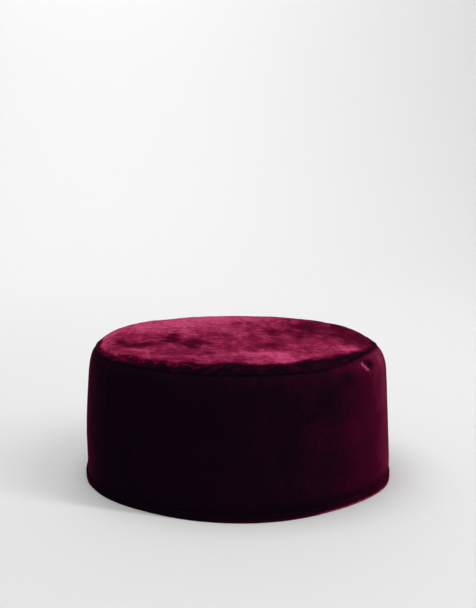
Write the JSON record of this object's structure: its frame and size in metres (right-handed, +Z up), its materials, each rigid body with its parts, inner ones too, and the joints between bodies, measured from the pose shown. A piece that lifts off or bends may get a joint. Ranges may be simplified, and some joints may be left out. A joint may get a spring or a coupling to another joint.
{
  "type": "pillbox hat",
  "caption": "Round brimless velvet hat with upright sides, a soft flat top with a rolled edge, and a folded binding round its open rim.",
  "frame": {"origin": "centre of the round rim, on the surface that the hat stands on", "axes": "+Z up through the top, -Y to the front of the hat, +X to the right as seen from the front"},
  "size_m": [0.1912, 0.1912, 0.0861],
  "materials": {
    "top_velvet": "short dense cotton velvet in dark wine, pile brushed across the top, matte with a soft pink sheen",
    "band_velvet": "the same velvet on stiffened cloth, pile lying down the wall, nearly black where it faces the viewer and wine towards its edges",
    "binding_velvet": "the same velvet folded round the rim, pile catching the light on the fold"
  },
  "bodies": {
    "root": {"crown_top": "top_velvet", "side_band": "band_velvet", "rim_binding": "binding_velvet"}
  },
  "joints": []
}
